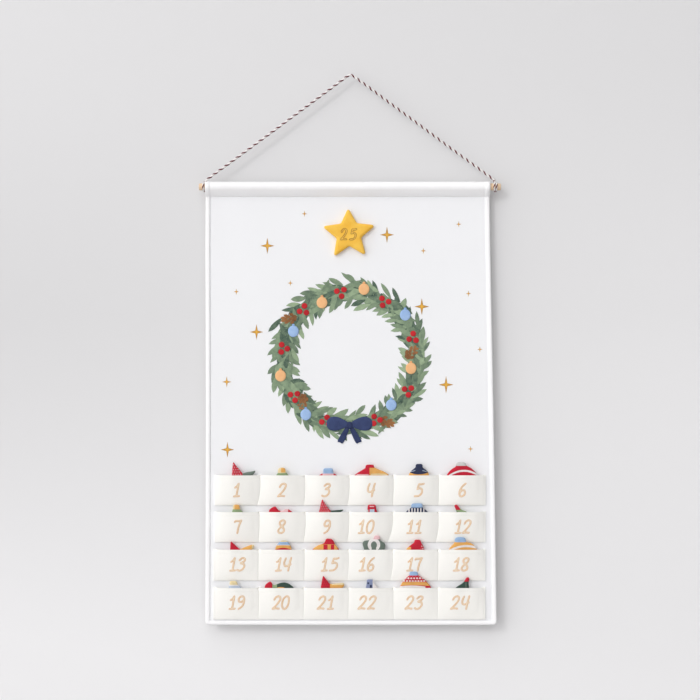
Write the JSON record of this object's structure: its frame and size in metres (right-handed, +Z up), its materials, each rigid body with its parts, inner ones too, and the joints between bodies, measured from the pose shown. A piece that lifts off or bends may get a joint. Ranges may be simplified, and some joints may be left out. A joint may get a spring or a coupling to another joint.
{
  "type": "fabric countdown calendar",
  "caption": "Wall-hung cloth countdown calendar on a dowel and twine, with a padded star and rows of open pockets that each hold a padded ornament.",
  "frame": {"origin": "where the middle of the twine bends over its nail", "axes": "+X to the right and +Z up as the calendar is read, +Y towards the wall; the front faces -Y"},
  "size_m": [0.4864, 0.0168, 0.8862],
  "materials": {
    "dowel_wood": "pale sanded wood, no varnish",
    "twine": "red and white two-ply twisted twine",
    "panel_cloth": "cool white plain-weave cotton canvas, matt",
    "interlining": "thin stiff non-woven layer",
    "lining_cloth": "plain white cotton lining, matt",
    "pocket_cloth": "warm white cotton canvas, matt",
    "star_cloth": "golden yellow padded cotton, matt",
    "ornament_red": "padded cotton, mainly red",
    "ornament_green": "padded cotton, mainly green",
    "ornament_blue": "padded cotton, mainly pale blue",
    "ornament_gold": "padded cotton, mainly gold",
    "ornament_navy": "padded cotton, mainly navy",
    "ornament_cream": "padded cotton, mainly off-white"
  },
  "bodies": {
    "hanger": {"dowel": "dowel_wood", "hanging_cord": "twine", "cord_loop_left": "twine", "cord_loop_right": "twine"},
    "panel": {"rod_sleeve": "panel_cloth", "front_panel": "panel_cloth", "interlining": "interlining", "back_lining": "lining_cloth", "star_cushion": "star_cloth", "pocket_strip_row_1": "pocket_cloth", "pocket_strip_row_2": "pocket_cloth", "pocket_strip_row_3": "pocket_cloth", "pocket_strip_row_4": "pocket_cloth"},
    "ornament_01": {"ornament_01": "ornament_red"},
    "ornament_02": {"ornament_02": "ornament_green"},
    "ornament_03": {"ornament_03": "ornament_red"},
    "ornament_04": {"ornament_04": "ornament_red"},
    "ornament_05": {"ornament_05": "ornament_navy"},
    "ornament_06": {"ornament_06": "ornament_red"},
    "ornament_07": {"ornament_07": "ornament_green"},
    "ornament_08": {"ornament_08": "ornament_red"},
    "ornament_09": {"ornament_09": "ornament_red"},
    "ornament_10": {"ornament_10": "ornament_cream"},
    "ornament_11": {"ornament_11": "ornament_navy"},
    "ornament_12": {"ornament_12": "ornament_green"},
    "ornament_13": {"ornament_13": "ornament_red"},
    "ornament_14": {"ornament_14": "ornament_blue"},
    "ornament_15": {"ornament_15": "ornament_gold"},
    "ornament_16": {"ornament_16": "ornament_cream"},
    "ornament_17": {"ornament_17": "ornament_red"},
    "ornament_18": {"ornament_18": "ornament_gold"},
    "ornament_19": {"ornament_19": "ornament_blue"},
    "ornament_20": {"ornament_20": "ornament_green"},
    "ornament_21": {"ornament_21": "ornament_red"},
    "ornament_22": {"ornament_22": "ornament_blue"},
    "ornament_23": {"ornament_23": "ornament_red"},
    "ornament_24": {"ornament_24": "ornament_green"}
  },
  "joints": [
    {"name": "panel_swing", "type": "hinge", "parent": "hanger", "child": "panel", "pos_m": [0, 0, -0.1828], "axis": [-1, 0, 0], "range_deg": [0, 90]},
    {"name": "ornament_01_lift", "type": "slide", "parent": "panel", "child": "ornament_01", "axis": [0, -0.1242, 0.9923], "range_m": [0, 0.05]},
    {"name": "ornament_02_lift", "type": "slide", "parent": "panel", "child": "ornament_02", "axis": [0, -0.1242, 0.9923], "range_m": [0, 0.05]},
    {"name": "ornament_03_lift", "type": "slide", "parent": "panel", "child": "ornament_03", "axis": [0, -0.1242, 0.9923], "range_m": [0, 0.05]},
    {"name": "ornament_04_lift", "type": "slide", "parent": "panel", "child": "ornament_04", "axis": [0, -0.1242, 0.9923], "range_m": [0, 0.05]},
    {"name": "ornament_05_lift", "type": "slide", "parent": "panel", "child": "ornament_05", "axis": [0, -0.1242, 0.9923], "range_m": [0, 0.05]},
    {"name": "ornament_06_lift", "type": "slide", "parent": "panel", "child": "ornament_06", "axis": [0, -0.1242, 0.9923], "range_m": [0, 0.05]},
    {"name": "ornament_07_lift", "type": "slide", "parent": "panel", "child": "ornament_07", "axis": [0, -0.1242, 0.9923], "range_m": [0, 0.05]},
    {"name": "ornament_08_lift", "type": "slide", "parent": "panel", "child": "ornament_08", "axis": [0, -0.1242, 0.9923], "range_m": [0, 0.05]},
    {"name": "ornament_09_lift", "type": "slide", "parent": "panel", "child": "ornament_09", "axis": [0, -0.1242, 0.9923], "range_m": [0, 0.05]},
    {"name": "ornament_10_lift", "type": "slide", "parent": "panel", "child": "ornament_10", "axis": [0, -0.1242, 0.9923], "range_m": [0, 0.05]},
    {"name": "ornament_11_lift", "type": "slide", "parent": "panel", "child": "ornament_11", "axis": [0, -0.1242, 0.9923], "range_m": [0, 0.05]},
    {"name": "ornament_12_lift", "type": "slide", "parent": "panel", "child": "ornament_12", "axis": [0, -0.1242, 0.9923], "range_m": [0, 0.05]},
    {"name": "ornament_13_lift", "type": "slide", "parent": "panel", "child": "ornament_13", "axis": [0, -0.1242, 0.9923], "range_m": [0, 0.05]},
    {"name": "ornament_14_lift", "type": "slide", "parent": "panel", "child": "ornament_14", "axis": [0, -0.1242, 0.9923], "range_m": [0, 0.05]},
    {"name": "ornament_15_lift", "type": "slide", "parent": "panel", "child": "ornament_15", "axis": [0, -0.1242, 0.9923], "range_m": [0, 0.05]},
    {"name": "ornament_16_lift", "type": "slide", "parent": "panel", "child": "ornament_16", "axis": [0, -0.1242, 0.9923], "range_m": [0, 0.05]},
    {"name": "ornament_17_lift", "type": "slide", "parent": "panel", "child": "ornament_17", "axis": [0, -0.1242, 0.9923], "range_m": [0, 0.05]},
    {"name": "ornament_18_lift", "type": "slide", "parent": "panel", "child": "ornament_18", "axis": [0, -0.1242, 0.9923], "range_m": [0, 0.05]},
    {"name": "ornament_19_lift", "type": "slide", "parent": "panel", "child": "ornament_19", "axis": [0, -0.1242, 0.9923], "range_m": [0, 0.05]},
    {"name": "ornament_20_lift", "type": "slide", "parent": "panel", "child": "ornament_20", "axis": [0, -0.1242, 0.9923], "range_m": [0, 0.05]},
    {"name": "ornament_21_lift", "type": "slide", "parent": "panel", "child": "ornament_21", "axis": [0, -0.1242, 0.9923], "range_m": [0, 0.05]},
    {"name": "ornament_22_lift", "type": "slide", "parent": "panel", "child": "ornament_22", "axis": [0, -0.1242, 0.9923], "range_m": [0, 0.05]},
    {"name": "ornament_23_lift", "type": "slide", "parent": "panel", "child": "ornament_23", "axis": [0, -0.1242, 0.9923], "range_m": [0, 0.05]},
    {"name": "ornament_24_lift", "type": "slide", "parent": "panel", "child": "ornament_24", "axis": [0, -0.1242, 0.9923], "range_m": [0, 0.05]}
  ]
}
